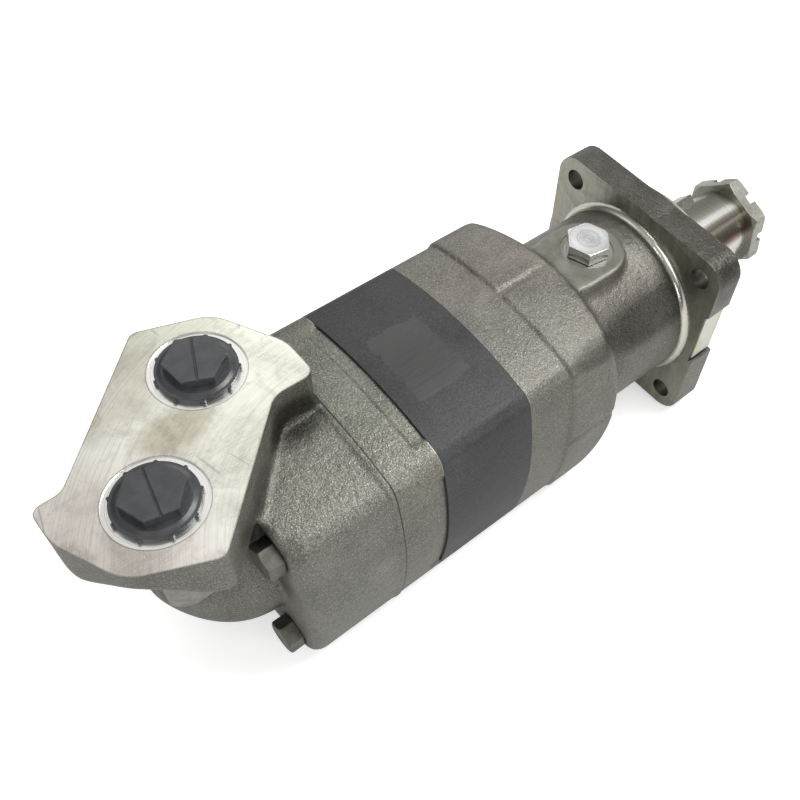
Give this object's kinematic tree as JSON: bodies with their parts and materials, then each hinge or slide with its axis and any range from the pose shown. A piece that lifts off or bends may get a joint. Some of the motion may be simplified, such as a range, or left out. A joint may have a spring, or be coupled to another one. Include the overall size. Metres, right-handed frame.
{
  "type": "orbital hydraulic motor",
  "caption": "Low-speed high-torque hydraulic motor: square flange, tapered keyed shaft with slotted nut, sliced body with roller ring, angled port pad with plugs, drain plug.",
  "frame": {"origin": "on the motor axis, in the front face of the mounting flange", "axes": "+X along the motor axis and out of the shaft end, +Z out of the port pad's face, +Y to the side away from the milled flat for the plate"},
  "size_m": [0.517, 0.1495, 0.1844],
  "materials": {
    "cast_iron_grey": "bare sand-cast iron with machined faces",
    "ring_black": "black oxide, scuffed",
    "bright_steel": "ground and turned steel",
    "dark_steel": "phosphated steel",
    "zinc_steel": "zinc plated, turned",
    "plug_plastic": "matte moulded plastic",
    "seal_rubber": "black rubber",
    "plate_aluminium": "satin foil, blank",
    "valve_bronze": "lapped bronze-coloured metal"
  },
  "bodies": {
    "housing": {"bearing_housing": "cast_iron_grey", "dust_seal": "seal_rubber", "shaft_seal": "seal_rubber", "seal_backup_washer": "bright_steel", "front_outer_race": "bright_steel", "rear_outer_race": "bright_steel", "roller_ring": "ring_black", "valve_plate": "cast_iron_grey", "valve_housing": "cast_iron_grey", "balance_ring": "bright_steel", "balance_inner_seal": "seal_rubber", "balance_outer_seal": "seal_rubber", "balance_springs": "bright_steel", "balance_pins": "bright_steel", "housing_bolts": "dark_steel", "section_seals": "seal_rubber", "drain_plug": "zinc_steel", "drain_plug_seal": "seal_rubber", "port_plug_front": "plug_plastic", "port_plug_rear": "plug_plastic", "nameplate_blank": "plate_aluminium"},
    "shaft": {"output_shaft": "bright_steel", "shaft_key": "bright_steel", "shaft_nut": "bright_steel", "front_inner_race": "bright_steel", "rear_inner_race": "bright_steel", "bearing_spacer": "bright_steel", "bearing_lock_nut": "dark_steel"},
    "front_cage": {"front_bearing_cage": "dark_steel", "front_bearing_rollers": "bright_steel"},
    "rear_cage": {"rear_bearing_cage": "dark_steel", "rear_bearing_rollers": "bright_steel"},
    "orbit": {"drive_spacer": "bright_steel"},
    "star": {"star": "dark_steel"},
    "main_drive": {"main_drive": "dark_steel"},
    "valve_drive": {"valve_drive": "dark_steel"},
    "disc_valve": {"disc_valve": "valve_bronze"},
    "roller_1": {"roller_1": "bright_steel"},
    "roller_2": {"roller_2": "bright_steel"},
    "roller_3": {"roller_3": "bright_steel"},
    "roller_4": {"roller_4": "bright_steel"},
    "roller_5": {"roller_5": "bright_steel"},
    "roller_6": {"roller_6": "bright_steel"},
    "roller_7": {"roller_7": "bright_steel"}
  },
  "joints": [
    {"name": "shaft_turn", "type": "hinge", "parent": "housing", "child": "shaft", "pos_m": [0, 0, 0], "axis": [1, 0, 0], "continuous": true},
    {"name": "front_cage_turn", "type": "hinge", "parent": "housing", "child": "front_cage", "pos_m": [-0.026, 0, 0], "axis": [1, 0, 0], "continuous": true},
    {"name": "rear_cage_turn", "type": "hinge", "parent": "housing", "child": "rear_cage", "pos_m": [-0.09, 0, 0], "axis": [1, 0, 0], "continuous": true},
    {"name": "orbit_turn", "type": "hinge", "parent": "housing", "child": "orbit", "pos_m": [-0.20575, 0, 0], "axis": [1, 0, 0], "continuous": true},
    {"name": "star_turn", "type": "hinge", "parent": "orbit", "child": "star", "pos_m": [-0.20575, 0.0045, 0], "axis": [1, 0, 0], "continuous": true},
    {"name": "main_drive_turn", "type": "hinge", "parent": "orbit", "child": "main_drive", "pos_m": [-0.092, 0, 0], "axis": [0.999, -0.045, 0], "continuous": true},
    {"name": "valve_drive_turn", "type": "hinge", "parent": "orbit", "child": "valve_drive", "pos_m": [-0.222, 0.0045, 0], "axis": [0.9974, 0.0724, 0], "continuous": true},
    {"name": "disc_valve_turn", "type": "hinge", "parent": "housing", "child": "disc_valve", "pos_m": [-0.2825, 0, 0], "axis": [1, 0, 0], "continuous": true},
    {"name": "roller_1_turn", "type": "hinge", "parent": "housing", "child": "roller_1", "pos_m": [-0.20575, 0.046, 0], "axis": [1, 0, 0], "continuous": true},
    {"name": "roller_2_turn", "type": "hinge", "parent": "housing", "child": "roller_2", "pos_m": [-0.20575, 0.02868, 0.03596], "axis": [1, 0, 0], "continuous": true},
    {"name": "roller_3_turn", "type": "hinge", "parent": "housing", "child": "roller_3", "pos_m": [-0.20575, -0.01024, 0.04485], "axis": [1, 0, 0], "continuous": true},
    {"name": "roller_4_turn", "type": "hinge", "parent": "housing", "child": "roller_4", "pos_m": [-0.20575, -0.04144, 0.01996], "axis": [1, 0, 0], "continuous": true},
    {"name": "roller_5_turn", "type": "hinge", "parent": "housing", "child": "roller_5", "pos_m": [-0.20575, -0.04144, -0.01996], "axis": [1, 0, 0], "continuous": true},
    {"name": "roller_6_turn", "type": "hinge", "parent": "housing", "child": "roller_6", "pos_m": [-0.20575, -0.01024, -0.04485], "axis": [1, 0, 0], "continuous": true},
    {"name": "roller_7_turn", "type": "hinge", "parent": "housing", "child": "roller_7", "pos_m": [-0.20575, 0.02868, -0.03596], "axis": [1, 0, 0], "continuous": true}
  ],
  "couplings": [
    {"joint": "front_cage_turn", "follows": "shaft_turn", "ratio": 0.44444},
    {"joint": "rear_cage_turn", "follows": "shaft_turn", "ratio": 0.44444},
    {"joint": "orbit_turn", "follows": "shaft_turn", "ratio": -6},
    {"joint": "star_turn", "follows": "shaft_turn", "ratio": 7},
    {"joint": "main_drive_turn", "follows": "shaft_turn", "ratio": 7},
    {"joint": "valve_drive_turn", "follows": "shaft_turn", "ratio": 7},
    {"joint": "disc_valve_turn", "follows": "shaft_turn", "ratio": 1},
    {"joint": "roller_1_turn", "follows": "shaft_turn", "ratio": -4},
    {"joint": "roller_2_turn", "follows": "shaft_turn", "ratio": -4},
    {"joint": "roller_3_turn", "follows": "shaft_turn", "ratio": -4},
    {"joint": "roller_4_turn", "follows": "shaft_turn", "ratio": -4},
    {"joint": "roller_5_turn", "follows": "shaft_turn", "ratio": -4},
    {"joint": "roller_6_turn", "follows": "shaft_turn", "ratio": -4},
    {"joint": "roller_7_turn", "follows": "shaft_turn", "ratio": -4}
  ]
}
